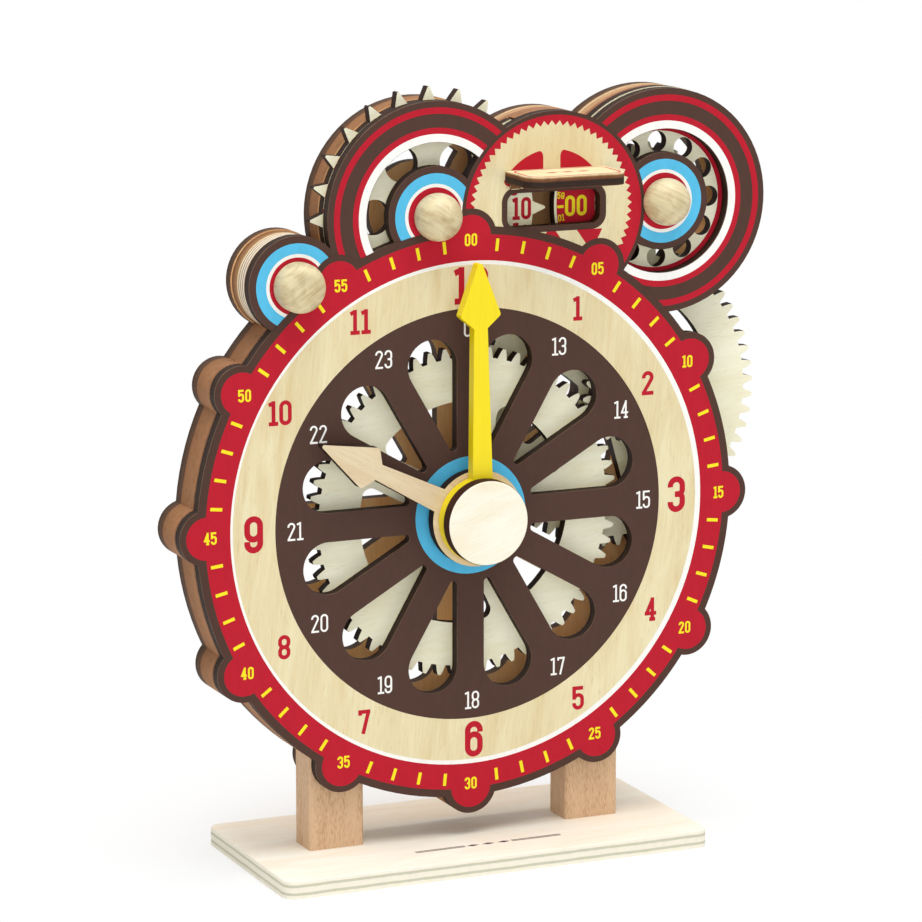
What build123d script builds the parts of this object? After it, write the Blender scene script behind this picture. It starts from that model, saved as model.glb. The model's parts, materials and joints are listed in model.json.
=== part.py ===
from build123d import *
from math import acos, cos, hypot, pi, radians, sin, sqrt, tan
import os

# Wooden teaching clock. Millimetres, +Z up, the dial faces -Y.
# The origin is the middle of the underside of the base plate.
# Depths count from the dial face: positive towards the rear plate, negative towards the viewer.
# Angles on the dial count clockwise from 12 o'clock.

# Plates and the two layers of wheels between them
PLATE_T = 5.5
WHEEL_T = 5.0
PLATE_CLEAR = 1.3
LAYER_CLEAR = 4.4

# Dial of the plates
DIAL_R = 128.0
HOURS = 12
LOBE_R = 12.3
LOBE_SINK = 4.3
SPOKE_W = 12.8
PETAL_OUTER_R = 70.0
PETAL_INNER_R = 32.0

# Circles above the dial
NUMBER_CIRCLE_R = 50.0
RING_OPENING_R = 32.1
ROSETTE_R = 21.7
CENTRE_CIRCLE_R = 44.2
CENTRE_CIRCLE_DROP = 1.3
SMALL_CIRCLE_R = 21.9
SMALL_CIRCLE_RISE = 6.2
SMALL_CIRCLE_REACH = 14.26
WINDOW_W = 45.0
WINDOW_H = 15.0
WINDOW_CORNER = 4.0

# Gear train
MODULE = 2.25
ADDENDUM_SHARE = 0.89
DEDENDUM_SHARE = 1.155
PRESSURE_ANGLE = 20.0
BACKLASH = 0.5
FLANK_STEPS = 3
PINION_TEETH = 20
SIDE_GEAR_TEETH = 60
SIDE_PINION_TEETH = 16
SIDE_AXLE_ANGLE = 59.7
MINUTE_WHEEL_ANGLE = 9.92
HOUR_GEAR_PHASE = -1.74
SIDE_GEAR_PHASE = 3.99
GEAR_SPOKES = 5
HOUR_GEAR_HUB_R = 24.0
HOUR_GEAR_RIM = 19.4
HOUR_GEAR_SPOKE_W = 16.0
HOUR_GEAR_SPOKE_ANGLE = 10.0
SIDE_GEAR_HUB_R = 18.0
SIDE_GEAR_RIM = 16.2
SIDE_GEAR_SPOKE_W = 14.0
SIDE_GEAR_SPOKE_ANGLE = 20.0
GEAR_WINDOW_CORNER = 4.0

# Number wheels
STAR_TEETH = 24
STAR_ROOT_R = 49.6
STAR_TOOTH_H = 5.9
STAR_TOOTH_W = 6.0
STAR_TIP_W = 0.9
STAR_HOLES = 6
STAR_HOLE_R = 7.75
MINUTE_WHEEL_R = 50.2
MINUTE_HOLES = 12
MINUTE_HOLE_R = 4.6
HOLE_CIRCLE_R = 25.8
RIM_GAP = 4.4
WINDOW_LEAD = 1.3
STAR_GEAR_GAP = 5.05
CARRY_PIN_R = 1.25
CARRY_PIN_SEAT = 6.0
CARRY_PIN_GAP = 0.4
CARRY_PIN_ANGLE = 300.0

# Shafts and their fits
ARBOR_R = 4.0
RUN_CLEAR = 0.05
SLEEVE_WALL = 2.95
AXLE_SEAT = 3.5
COLLAR_R = 9.0
SIDE_WASHER_R = 10.0

# Hands, in front of the dial
HUB_WASHER_R = 15.0
HUB_WASHER_T = 2.5
HUB_WASHER_CLEAR = 0.4
HAND_CLEAR = 0.4
MINUTE_HUB_R = 19.0
HOUR_HUB_R = 21.5
MINUTE_HAND_T = 5.0
MINUTE_HAND_ANGLE = -0.75
MINUTE_NECK_R = 85.2
MINUTE_HEAD_BACK = 5.5
MINUTE_HEAD_LENGTH = 22.7
MINUTE_ROOT_W = 10.3
MINUTE_NECK_W = 6.4
MINUTE_HEAD_W = 19.2
MINUTE_TIP_W = 2.0
HOUR_HAND_T = 5.3
HOUR_HAND_ANGLE = -62.6
HOUR_NECK_R = 53.0
HOUR_HEAD_BACK = 4.5
HOUR_HEAD_LENGTH = 25.0
HOUR_ROOT_W = 13.0
HOUR_NECK_W = 7.2
HOUR_HEAD_W = 19.6
HOUR_TIP_W = 1.2
HEAD_CORNER = 1.4
TIP_CORNER = 0.6
CAP_T = 6.0
CAP_R = 18.9
CAP_EDGE = 0.8
CAP_SEAT = 3.9

# Knobs
KNOB_R = 10.5
KNOB_CENTRE = 3.6
KNOB_CLEAR = 0.6
KNOB_SEAT = 6.0
SMALL_KNOB_R = 10.9
SMALL_KNOB_T = 9.5
SMALL_KNOB_DOME = 5.0

# Flap over the window
FLAP_W = 47.3
FLAP_REACH = 26.5
FLAP_T = 5.2
FLAP_CORNER = 7.0
FLAP_BACK_CLEAR = 0.3
HINGE_RISE = 3.3
HINGE_STANDOFF = 0.75
HINGE_PIN_R = 0.6
HINGE_RUN_CLEAR = 0.03
KNUCKLE_R = 1.25
KNUCKLE_CLEAR = 0.35
EAR_W = 4.0
EAR_INSET = 1.8
EAR_CLEAR = 0.3

# Spacers between the plates
RING_W = 24.0
RING_START_DROP = 14.0
WHEEL_PASS = 1.2
STAR_LAYER_CLEAR = 0.5
SPACER_RIM = 12.0
SPACER_SKIRT = 15.0
CROWN_FOOT_RISE = 20.0
SMALL_SPACER_INSET = 0.7

# Base and legs
BASE_W = 204.0
BASE_D = 98.0
BASE_T = 8.0
BASE_CORNER = 6.0
BASE_EDGE = 0.5
LOBE_CLEAR = 10.4
LEG_W = 25.6
LEG_SPREAD = 124.4
LEG_TUCK = 4.0
LEG_CHAMFER = 0.8
SCREW_R = 1.75
SCREW_HEAD_R = 3.6
SCREW_HEAD_T = 2.2
SCREW_REACH = 18.0
SCREW_PITCH = 12.0
SCREW_RECESS = 0.4


def polar(radius, angle):
    """Point at a radius and a clockwise angle from 12 o'clock."""
    return (radius * sin(radians(angle)), radius * cos(radians(angle)))


def moved(point, radius, angle):
    """Point reached from another one by a radius and a clockwise angle."""
    step = polar(radius, angle)
    return (point[0] + step[0], point[1] + step[1])


def meet(first, first_r, second, second_r):
    """Point at a distance from each of two others, on the left of the way from first to second."""
    across = (second[0] - first[0], second[1] - first[1])
    span = hypot(*across)
    along = (span**2 + first_r**2 - second_r**2) / (2 * span)
    aside = sqrt(first_r**2 - along**2)
    ahead = (across[0] / span, across[1] / span)
    return (
        first[0] + along * ahead[0] - aside * ahead[1],
        first[1] + along * ahead[1] + aside * ahead[0],
    )


# Depths of the layers
A_FRONT = PLATE_T + PLATE_CLEAR
A_BACK = A_FRONT + WHEEL_T
B_FRONT = A_BACK + LAYER_CLEAR
B_BACK = B_FRONT + WHEEL_T
REAR_FRONT = B_BACK + PLATE_CLEAR
REAR_BACK = REAR_FRONT + PLATE_T
WASHER_FRONT = -(HUB_WASHER_CLEAR + HUB_WASHER_T)
HOUR_HAND_FRONT = WASHER_FRONT - HOUR_HAND_T
MINUTE_HAND_BACK = HOUR_HAND_FRONT - HAND_CLEAR
MINUTE_HAND_FRONT = MINUTE_HAND_BACK - MINUTE_HAND_T
CAP_FRONT = MINUTE_HAND_FRONT - CAP_T

# Gear sizes
ADDENDUM = ADDENDUM_SHARE * MODULE
DEDENDUM = DEDENDUM_SHARE * MODULE
HOUR_GEAR_TEETH = PINION_TEETH + SIDE_GEAR_TEETH - SIDE_PINION_TEETH
GEAR_DISTANCE = MODULE * (PINION_TEETH + SIDE_GEAR_TEETH) / 2
HOUR_GEAR_TIP_R = MODULE * HOUR_GEAR_TEETH / 2 + ADDENDUM
SIDE_TIP_R = MODULE * SIDE_GEAR_TEETH / 2 + ADDENDUM
STAR_TIP_R = STAR_ROOT_R + STAR_TOOTH_H
CARRY_TIP_R = MINUTE_WHEEL_R + RIM_GAP - CARRY_PIN_GAP

# Places on the dial plane, from the dial's centre
DIAL_CENTRE = (0.0, 0.0)
SIDE_CENTRE = polar(GEAR_DISTANCE, SIDE_AXLE_ANGLE)
MINUTE_CENTRE = moved(SIDE_CENTRE, GEAR_DISTANCE, MINUTE_WHEEL_ANGLE)
NUMBER_DISTANCE = STAR_TIP_R + RIM_GAP + MINUTE_WHEEL_R
STAR_DISTANCE = HOUR_GEAR_TIP_R + STAR_GEAR_GAP + STAR_TIP_R
HOUR_CENTRE = meet(DIAL_CENTRE, STAR_DISTANCE, MINUTE_CENTRE, NUMBER_DISTANCE)
WINDOW_SHARE = (STAR_TIP_R + WINDOW_LEAD) / NUMBER_DISTANCE
WINDOW_CENTRE = (
    HOUR_CENTRE[0] + WINDOW_SHARE * (MINUTE_CENTRE[0] - HOUR_CENTRE[0]),
    HOUR_CENTRE[1] + WINDOW_SHARE * (MINUTE_CENTRE[1] - HOUR_CENTRE[1]),
)
CIRCLE_CENTRE = (WINDOW_CENTRE[0], WINDOW_CENTRE[1] - CENTRE_CIRCLE_DROP)
SMALL_DISTANCE = STAR_TIP_R + SMALL_CIRCLE_REACH
SMALL_CENTRE = meet(DIAL_CENTRE, DIAL_R + SMALL_CIRCLE_RISE, HOUR_CENTRE, SMALL_DISTANCE)
SMALL_SPACER_R = SMALL_CIRCLE_R - SMALL_SPACER_INSET
RING_INNER_R = DIAL_R - RING_W
SLEEVE_R = ARBOR_R + RUN_CLEAR + SLEEVE_WALL

# Place of the dial in the part's frame
FACE_Y = -REAR_BACK / 2
DIAL_Z = BASE_T + LOBE_CLEAR + DIAL_R - LOBE_SINK + LOBE_R
HINGE_Z = DIAL_Z + WINDOW_CENTRE[1] + WINDOW_H / 2 + HINGE_RISE
HINGE_OUT = KNUCKLE_R + HINGE_STANDOFF
HINGE_Y = FACE_Y - HINGE_OUT
FLAP_LIFT = KNUCKLE_R + KNUCKLE_CLEAR

# Sideways limits of the legs
LEG_INNER_X = (LEG_SPREAD - LEG_W) / 2
LEG_OUTER_X = (LEG_SPREAD + LEG_W) / 2
FAR = 4 * DIAL_R


def layer(sketch, front, back):
    """Flat piece cut from a sketch on the dial plane, between two depths."""
    plane = Plane(origin=(0, FACE_Y + back, DIAL_Z), x_dir=(1, 0, 0), z_dir=(0, -1, 0))
    return extrude(plane * sketch, amount=back - front, dir=(0, -1, 0))


def disc(centre, radius):
    """Round sketch about a point of the dial plane."""
    return Pos(*centre) * Circle(radius)


def rod(centre, radius, front, back):
    """Round bar square to the dial."""
    return layer(disc(centre, radius), front, back)


def area(left, right, bottom, top):
    """Rectangle between four limits of the dial plane."""
    return Pos((left + right) / 2, (bottom + top) / 2) * Rectangle(right - left, top - bottom)


def at_angle(sketch, centre, angle):
    """Sketch that points up, turned clockwise and carried to a centre."""
    return Pos(*centre) * Rot(0, 0, -angle) * sketch


# Plates


def dial_outline():
    """Round dial with a lobe at each hour."""
    lobes = [disc(polar(DIAL_R - LOBE_SINK, 360 / HOURS * k), LOBE_R) for k in range(HOURS)]
    return Circle(DIAL_R) + lobes


def plate_outline():
    """Dial and the four circles that stand on it."""
    circles = [
        disc(HOUR_CENTRE, NUMBER_CIRCLE_R),
        disc(MINUTE_CENTRE, NUMBER_CIRCLE_R),
        disc(CIRCLE_CENTRE, CENTRE_CIRCLE_R),
        disc(SMALL_CENTRE, SMALL_CIRCLE_R),
    ]
    return dial_outline() + circles


def petal():
    """Opening between two spokes of the dial, round at both ends, that points up."""
    half = 180 / HOURS
    ends = []
    for radius in (PETAL_OUTER_R, PETAL_INNER_R):
        along = moved(DIAL_CENTRE, radius * cos(radians(half)), half)
        ends.append(moved(along, SPOKE_W / 2, half - 90))
    outer, inner = ends
    sides = Polygon(outer, (-outer[0], outer[1]), (-inner[0], inner[1]), inner, align=None)
    for radius in (PETAL_OUTER_R, PETAL_INNER_R):
        sides += disc((0, radius), radius * sin(radians(half)) - SPOKE_W / 2)
    return sides


def ring_opening(centre):
    """Opening round a rosette, stopped by the dial's edge and by the centre circle."""
    ring = disc(centre, RING_OPENING_R) - disc(centre, ROSETTE_R)
    return ring - dial_outline() - disc(CIRCLE_CENTRE, CENTRE_CIRCLE_R)


def plate_sketch():
    """Outline with the petals, the two ring openings and the bores of the three arbors' line."""
    sketch = plate_outline()
    for k in range(HOURS):
        sketch -= at_angle(petal(), DIAL_CENTRE, 360 / HOURS * (k + 0.5))
    for centre in (HOUR_CENTRE, MINUTE_CENTRE):
        sketch -= ring_opening(centre)
        sketch -= disc(centre, ARBOR_R + RUN_CLEAR)
    return sketch


def axle_seat(front, back):
    """Blind hole of the side gear's axle."""
    return rod(SIDE_CENTRE, ARBOR_R, front, back)


def front_plate():
    sketch = plate_sketch()
    sketch -= disc(DIAL_CENTRE, SLEEVE_R + RUN_CLEAR)
    sketch -= disc(SMALL_CENTRE, ARBOR_R + RUN_CLEAR)
    sketch -= Pos(*WINDOW_CENTRE) * RectangleRounded(WINDOW_W, WINDOW_H, WINDOW_CORNER)
    return layer(sketch, 0, PLATE_T) - axle_seat(PLATE_T - AXLE_SEAT, PLATE_T)


def rear_plate():
    sketch = plate_sketch() - disc(DIAL_CENTRE, ARBOR_R + RUN_CLEAR)
    return layer(sketch, REAR_FRONT, REAR_BACK) - axle_seat(REAR_FRONT, REAR_FRONT + AXLE_SEAT)


# Spacers between the plates


def ring():
    """Edge of the dial, from the spacers' inner radius to the outline."""
    return dial_outline() - Circle(RING_INNER_R)


def ring_spacer_right():
    sketch = ring() & area(LEG_OUTER_X, FAR, -FAR, -RING_START_DROP)
    sketch -= disc(SIDE_CENTRE, SIDE_TIP_R + WHEEL_PASS)
    return layer(sketch, PLATE_T, REAR_FRONT)


def ring_spacer_bottom():
    sketch = ring() & area(-LEG_INNER_X, LEG_INNER_X, -FAR, 0)
    return layer(sketch, PLATE_T, REAR_FRONT)


def ring_spacer_left():
    sketch = ring() & area(-FAR, -LEG_OUTER_X, -FAR, SMALL_CENTRE[1])
    sketch -= disc(SMALL_CENTRE, SMALL_SPACER_R)
    return layer(sketch, PLATE_T, REAR_FRONT)


def small_spacer():
    """Disc behind the small circle, cut away in front where the star's teeth pass."""
    behind_star = A_BACK + STAR_LAYER_CLEAR
    outline = disc(SMALL_CENTRE, SMALL_SPACER_R) - disc(SMALL_CENTRE, ARBOR_R + RUN_CLEAR)
    front = layer(outline - disc(HOUR_CENTRE, STAR_TIP_R + WHEEL_PASS), PLATE_T, behind_star)
    return front + layer(outline, behind_star, REAR_FRONT)


def circle_spacer(centre):
    """Rim behind a number wheel, on the upper side of its circle."""
    rim = disc(centre, NUMBER_CIRCLE_R) - disc(centre, NUMBER_CIRCLE_R - SPACER_RIM)
    rim &= area(-FAR, FAR, centre[1] - SPACER_SKIRT, FAR)
    rim -= disc(SMALL_CENTRE, SMALL_SPACER_R)
    rim -= disc(CIRCLE_CENTRE, CENTRE_CIRCLE_R)
    return layer(rim, A_BACK + STAR_LAYER_CLEAR, REAR_FRONT)


def crown_spacer():
    """Block behind the top of the centre circle, cut away in front where the number wheels pass."""
    behind_wheels = A_BACK + STAR_LAYER_CLEAR
    block = disc(CIRCLE_CENTRE, CENTRE_CIRCLE_R)
    block &= area(-FAR, FAR, WINDOW_CENTRE[1] + CROWN_FOOT_RISE, FAR)
    passage = block - disc(HOUR_CENTRE, STAR_TIP_R + WHEEL_PASS)
    passage -= disc(MINUTE_CENTRE, CARRY_TIP_R + WHEEL_PASS)
    for centre in (HOUR_CENTRE, MINUTE_CENTRE):
        block -= disc(centre, NUMBER_CIRCLE_R - SPACER_RIM)
    return layer(passage, PLATE_T, behind_wheels) + layer(block, behind_wheels, REAR_FRONT)


# Gears and number wheels


def involute(angle):
    """Involute of an angle in radians."""
    return tan(angle) - angle


def gear_outline(teeth, phase):
    """Toothed disc about the dial's centre, with the middle of one tooth at the phase angle."""
    pitch_r = MODULE * teeth / 2
    base_r = pitch_r * cos(radians(PRESSURE_ANGLE))
    root_r = pitch_r - DEDENDUM
    tip_r = pitch_r + ADDENDUM
    foot_r = max(base_r, root_r)
    half_at_pitch = (pi * MODULE / 2 - BACKLASH) / (2 * pitch_r)
    flank = []
    if root_r < base_r:
        flank.append((root_r, half_at_pitch + involute(radians(PRESSURE_ANGLE))))
    for k in range(FLANK_STEPS + 1):
        radius = foot_r + (tip_r - foot_r) * k / FLANK_STEPS
        turn = involute(radians(PRESSURE_ANGLE)) - involute(acos(min(1, base_r / radius)))
        flank.append((radius, half_at_pitch + turn))
    points = []
    for k in range(teeth):
        middle = phase + 360 / teeth * k
        points += [polar(radius, middle - half * 180 / pi) for radius, half in flank]
        points += [polar(radius, middle + half * 180 / pi) for radius, half in reversed(flank)]
    return Sketch() + make_face(Polyline(points[::-1], close=True))


def mated_phase(phase, teeth, direction, mate_teeth):
    """Phase of the gear met in a direction, with its gap on this gear's tooth."""
    return direction + 180 - (phase - direction) * teeth / mate_teeth + 180 / mate_teeth


def spoke_windows(hub_r, rim_r, spoke_w, first):
    """Openings between the spokes of a gear, with rounded corners."""
    openings = Circle(rim_r) - Circle(hub_r)
    for k in range(GEAR_SPOKES):
        bar = Pos(0, rim_r / 2) * Rectangle(spoke_w, rim_r)
        openings -= at_angle(bar, DIAL_CENTRE, first + 360 / GEAR_SPOKES * k)
    foot = 2 * pi * hub_r / GEAR_SPOKES - spoke_w
    return fillet(openings.vertices(), min(GEAR_WINDOW_CORNER, 0.4 * foot))


def root_radius(teeth):
    """Radius between the teeth of a gear."""
    return MODULE * teeth / 2 - DEDENDUM


def hour_gear():
    sketch = gear_outline(HOUR_GEAR_TEETH, HOUR_GEAR_PHASE)
    rim_r = root_radius(HOUR_GEAR_TEETH) - HOUR_GEAR_RIM
    sketch -= spoke_windows(HOUR_GEAR_HUB_R, rim_r, HOUR_GEAR_SPOKE_W, HOUR_GEAR_SPOKE_ANGLE)
    return layer(sketch - Circle(SLEEVE_R), A_FRONT, A_BACK)


def side_gear():
    sketch = gear_outline(SIDE_GEAR_TEETH, SIDE_GEAR_PHASE)
    rim_r = root_radius(SIDE_GEAR_TEETH) - SIDE_GEAR_RIM
    sketch -= spoke_windows(SIDE_GEAR_HUB_R, rim_r, SIDE_GEAR_SPOKE_W, SIDE_GEAR_SPOKE_ANGLE)
    return layer(Pos(*SIDE_CENTRE) * (sketch - Circle(ARBOR_R + RUN_CLEAR)), B_FRONT, B_BACK)


def side_pinion():
    phase = mated_phase(HOUR_GEAR_PHASE, HOUR_GEAR_TEETH, SIDE_AXLE_ANGLE, SIDE_PINION_TEETH)
    sketch = gear_outline(SIDE_PINION_TEETH, phase) - Circle(ARBOR_R + RUN_CLEAR)
    return layer(Pos(*SIDE_CENTRE) * sketch, A_FRONT, A_BACK)


def side_washer():
    sketch = Circle(SIDE_WASHER_R) - Circle(ARBOR_R + RUN_CLEAR)
    return layer(Pos(*SIDE_CENTRE) * sketch, A_BACK, B_FRONT)


def drive_pinion(centre, direction):
    """Pinion pressed on a shaft and driven or driving through the side gear."""
    phase = mated_phase(SIDE_GEAR_PHASE, SIDE_GEAR_TEETH, direction, PINION_TEETH)
    sketch = gear_outline(PINION_TEETH, phase) - Circle(ARBOR_R)
    return layer(Pos(*centre) * sketch, B_FRONT, B_BACK)


def holes(count, radius, first):
    """Ring of lightening holes in a number wheel."""
    return [disc(polar(HOLE_CIRCLE_R, first + 360 / count * k), radius) for k in range(count)]


def hour_star():
    """Wheel with pointed teeth, one of them level with the minute wheel."""
    sketch = Circle(STAR_ROOT_R)
    foot_r = STAR_ROOT_R - STAR_TOOTH_W ** 2 / (4 * STAR_ROOT_R)
    half = STAR_TOOTH_W / 2
    tip = STAR_TIP_W / 2
    tooth = Polygon((-half, foot_r), (half, foot_r), (tip, STAR_TIP_R), (-tip, STAR_TIP_R), align=None)
    for k in range(STAR_TEETH):
        sketch += at_angle(tooth, DIAL_CENTRE, 360 / STAR_TEETH * k)
    sketch -= holes(STAR_HOLES, STAR_HOLE_R, 180 / STAR_HOLES)
    sketch -= Circle(ARBOR_R)
    return layer(Pos(*HOUR_CENTRE) * sketch, A_FRONT, A_BACK)


def carry_pin():
    """Pin across the minute wheel's rim that steps the star on."""
    foot = MINUTE_WHEEL_R - CARRY_PIN_SEAT
    start = moved(MINUTE_CENTRE, foot, CARRY_PIN_ANGLE)
    outward = polar(1, CARRY_PIN_ANGLE)
    origin = (start[0], FACE_Y + (A_FRONT + A_BACK) / 2, DIAL_Z + start[1])
    plane = Plane(origin=origin, x_dir=(0, 1, 0), z_dir=(outward[0], 0, outward[1]))
    return extrude(plane * Circle(CARRY_PIN_R), amount=CARRY_TIP_R - foot)


def minute_wheel():
    sketch = Circle(MINUTE_WHEEL_R) - Circle(ARBOR_R)
    sketch -= holes(MINUTE_HOLES, MINUTE_HOLE_R, 0)
    return layer(Pos(*MINUTE_CENTRE) * sketch, A_FRONT, A_BACK) - carry_pin()


# Shafts


def minute_shaft():
    return rod(DIAL_CENTRE, ARBOR_R, MINUTE_HAND_FRONT - CAP_SEAT, REAR_BACK)


def hour_sleeve():
    tube = Circle(SLEEVE_R) - Circle(ARBOR_R + RUN_CLEAR)
    return layer(tube, HOUR_HAND_FRONT, A_BACK)


def side_axle():
    return rod(SIDE_CENTRE, ARBOR_R, PLATE_T - AXLE_SEAT, REAR_FRONT + AXLE_SEAT)


def arbor(centre, back):
    """Turning shaft that reaches forward into its knob."""
    return rod(centre, ARBOR_R, -(KNOB_CLEAR + KNOB_SEAT), back)


def star_collar():
    collar = disc(HOUR_CENTRE, COLLAR_R) - disc(HOUR_CENTRE, ARBOR_R)
    return layer(collar, A_BACK, REAR_FRONT - STAR_LAYER_CLEAR)


# Hands and cap


def hand(hub_r, root_w, neck_w, head_w, tip_w, neck_r, head_back, head_length):
    """Tapered bar with an arrow head and a round hub, that points up."""
    shoulder_r = neck_r + head_back
    tip_r = shoulder_r + head_length
    bar = Polygon(
        (-root_w / 2, 0), (root_w / 2, 0), (neck_w / 2, neck_r), (-neck_w / 2, neck_r), align=None
    )
    head = Polygon(
        (neck_w / 2, neck_r),
        (head_w / 2, shoulder_r),
        (tip_w / 2, tip_r),
        (-tip_w / 2, tip_r),
        (-head_w / 2, shoulder_r),
        (-neck_w / 2, neck_r),
        align=None,
    )
    head = fillet(head.vertices().sort_by(Axis.Y)[2:4], HEAD_CORNER)
    head = fillet(head.vertices().sort_by(Axis.Y)[-2:], TIP_CORNER)
    return bar + head + Circle(hub_r)


def minute_hand():
    sketch = hand(
        MINUTE_HUB_R,
        MINUTE_ROOT_W,
        MINUTE_NECK_W,
        MINUTE_HEAD_W,
        MINUTE_TIP_W,
        MINUTE_NECK_R,
        MINUTE_HEAD_BACK,
        MINUTE_HEAD_LENGTH,
    )
    sketch = at_angle(sketch, DIAL_CENTRE, MINUTE_HAND_ANGLE) - Circle(ARBOR_R)
    return layer(sketch, MINUTE_HAND_FRONT, MINUTE_HAND_BACK)


def hour_hand():
    sketch = hand(
        HOUR_HUB_R,
        HOUR_ROOT_W,
        HOUR_NECK_W,
        HOUR_HEAD_W,
        HOUR_TIP_W,
        HOUR_NECK_R,
        HOUR_HEAD_BACK,
        HOUR_HEAD_LENGTH,
    )
    sketch = at_angle(sketch, DIAL_CENTRE, HOUR_HAND_ANGLE) - Circle(SLEEVE_R)
    return layer(sketch, HOUR_HAND_FRONT, WASHER_FRONT)


def hub_washer():
    return layer(Circle(HUB_WASHER_R) - Circle(SLEEVE_R), WASHER_FRONT, -HUB_WASHER_CLEAR)


def hub_cap():
    body = rod(DIAL_CENTRE, CAP_R, CAP_FRONT, MINUTE_HAND_FRONT)
    body = fillet(body.edges().group_by(Axis.Y)[0], CAP_EDGE)
    return body - rod(DIAL_CENTRE, ARBOR_R, MINUTE_HAND_FRONT - CAP_SEAT, MINUTE_HAND_FRONT)


# Knobs


def knob_bore(centre):
    """Blind hole in a knob's back."""
    return rod(centre, ARBOR_R, -(KNOB_CLEAR + KNOB_SEAT), -KNOB_CLEAR)


def ball_knob(centre):
    """Ball with a flat back that faces the plate."""
    ball = Pos(centre[0], FACE_Y - KNOB_CENTRE, DIAL_Z + centre[1]) * Sphere(KNOB_R)
    flat = Plane(origin=(centre[0], FACE_Y - KNOB_CLEAR, DIAL_Z + centre[1]), z_dir=(0, -1, 0))
    return split(ball, bisect_by=flat, keep=Keep.TOP) - knob_bore(centre)


def small_knob():
    """Low button with a rounded front edge."""
    body = rod(SMALL_CENTRE, SMALL_KNOB_R, -(KNOB_CLEAR + SMALL_KNOB_T), -KNOB_CLEAR)
    body = fillet(body.edges().group_by(Axis.Y)[0], SMALL_KNOB_DOME)
    return body - knob_bore(SMALL_CENTRE)


# Flap and its hinge


def hinge_bar(radius, left, right):
    """Round bar along the hinge's axis, between two limits from the window's middle."""
    origin = (WINDOW_CENTRE[0] + left, HINGE_Y, HINGE_Z)
    plane = Plane(origin=origin, x_dir=(0, 1, 0), z_dir=(1, 0, 0))
    return extrude(plane * Circle(radius), amount=right - left)


def hinge_block(left, right, front, back, bottom, top):
    """Block about the hinge, between limits from its axis and from the window's middle."""
    centre = ((left + right) / 2 + WINDOW_CENTRE[0], (front + back) / 2 + HINGE_Y, (bottom + top) / 2 + HINGE_Z)
    return Pos(*centre) * Box(right - left, back - front, top - bottom)


EAR_OUTER = FLAP_W / 2 - EAR_INSET
EAR_INNER = EAR_OUTER - EAR_W


def flap():
    """Leaf that stands out level over the window, with two ears under its back edge."""
    back = FACE_Y - FLAP_BACK_CLEAR
    front = FACE_Y - FLAP_REACH
    leaf = Pos(WINDOW_CENTRE[0], (front + back) / 2) * Rectangle(FLAP_W, back - front)
    leaf = fillet(leaf.vertices().group_by(Axis.Y)[0], FLAP_CORNER)
    body = extrude(Pos(0, 0, HINGE_Z + FLAP_LIFT) * leaf, amount=FLAP_T)
    for left, right in ((-EAR_OUTER, -EAR_INNER), (EAR_INNER, EAR_OUTER)):
        body += hinge_block(left, right, -KNUCKLE_R, KNUCKLE_R, 0, FLAP_LIFT)
        body += hinge_bar(KNUCKLE_R, left, right)
    return body - hinge_bar(HINGE_PIN_R, -EAR_OUTER, EAR_OUTER)


def hinge_rail():
    """Strip glued on the plate between the flap's ears."""
    end = EAR_INNER - EAR_CLEAR
    body = hinge_bar(KNUCKLE_R, -end, end)
    body += hinge_block(-end, end, 0, HINGE_OUT, -KNUCKLE_R, KNUCKLE_R)
    return body - hinge_bar(HINGE_PIN_R + HINGE_RUN_CLEAR, -end, end)


def hinge_pin():
    return hinge_bar(HINGE_PIN_R, -EAR_OUTER, EAR_OUTER)


# Base, legs and screws


def screw_places():
    """Places of the screws on the base, two under each leg."""
    side = LEG_SPREAD / 2
    return [(x + dx, 0) for x in (-side, side) for dx in (-SCREW_PITCH / 2, SCREW_PITCH / 2)]


def screw(place):
    """Countersunk wood screw, its head sunk in the underside of the base."""
    head = Cone(SCREW_HEAD_R, SCREW_R, SCREW_HEAD_T, align=(Align.CENTER, Align.CENTER, Align.MIN))
    shank = Cylinder(SCREW_R, BASE_T + SCREW_REACH - SCREW_RECESS, align=(Align.CENTER, Align.CENTER, Align.MIN))
    return Pos(place[0], place[1], SCREW_RECESS) * (head + shank)


def screws():
    return [screw(place) for place in screw_places()]


def recess(place):
    """Round pocket below a screw's head."""
    pocket = Cylinder(SCREW_HEAD_R, SCREW_RECESS, align=(Align.CENTER, Align.CENTER, Align.MIN))
    return Pos(place[0], place[1], 0) * pocket


def base_plate():
    body = extrude(RectangleRounded(BASE_W, BASE_D, BASE_CORNER), amount=BASE_T)
    body = fillet(body.edges().group_by(Axis.Z)[-1], BASE_EDGE)
    for place in screw_places():
        body -= screw(place) + recess(place)
    return body


def leg(side):
    """Block from the base up between the plates; side is -1 for the left and 1 for the right."""
    height = DIAL_Z - HOUR_GEAR_TIP_R + LEG_TUCK - BASE_T
    body = extrude(Rectangle(LEG_W, REAR_FRONT - PLATE_T), amount=height)
    body = chamfer(body.edges().filter_by(Axis.Z), LEG_CHAMFER)
    body = Pos(side * LEG_SPREAD / 2, 0, BASE_T) * body
    for cut in screws():
        body -= cut
    return body


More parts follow.
